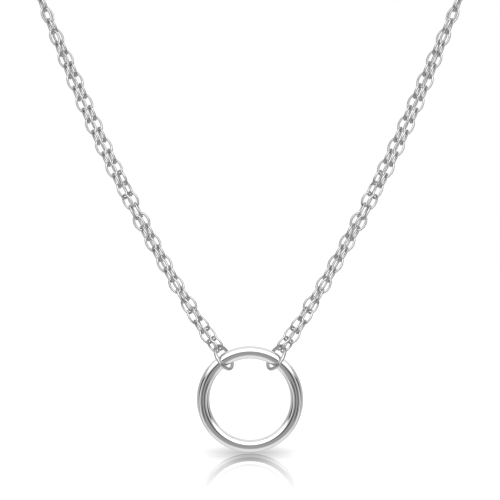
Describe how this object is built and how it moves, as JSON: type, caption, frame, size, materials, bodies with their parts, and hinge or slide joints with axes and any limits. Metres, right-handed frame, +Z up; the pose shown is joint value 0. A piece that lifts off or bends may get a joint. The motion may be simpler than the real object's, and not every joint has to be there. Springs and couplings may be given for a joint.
{
  "type": "open circle pendant necklace",
  "caption": "Open circle pendant carried by two jump rings on a double strand of fine oval cable chain, worn round the neck.",
  "frame": {"origin": "the middle of the clasp and its two end rings, on the nape of the neck, where the necklace hangs", "axes": "+X to the viewer's right across the chest, +Y back from the pendant to the nape, +Z up"},
  "size_m": [0.1038, 0.1135, 0.1347],
  "materials": {
    "polished_silver": "mirror-polished sterling silver",
    "chain_silver": "polished sterling silver wire"
  },
  "bodies": {
    "chain": {"jump_ring_left": "polished_silver", "jump_ring_right": "polished_silver", "chain_left_inner_front": "chain_silver", "chain_left_outer_front": "chain_silver", "chain_right_inner_front": "chain_silver", "chain_right_outer_front": "chain_silver", "chain_left_inner_back": "chain_silver", "chain_left_outer_back": "chain_silver", "chain_right_inner_back": "chain_silver", "chain_right_outer_back": "chain_silver", "end_ring_left": "polished_silver", "end_ring_right": "polished_silver", "clasp": "polished_silver"},
    "pendant": {"pendant_ring": "polished_silver"}
  },
  "joints": [
    {"name": "pendant_swing", "type": "hinge", "parent": "chain", "child": "pendant", "pos_m": [0, -0.11, -0.11803], "axis": [1, 0, 0], "range_deg": [-30, 30]}
  ]
}
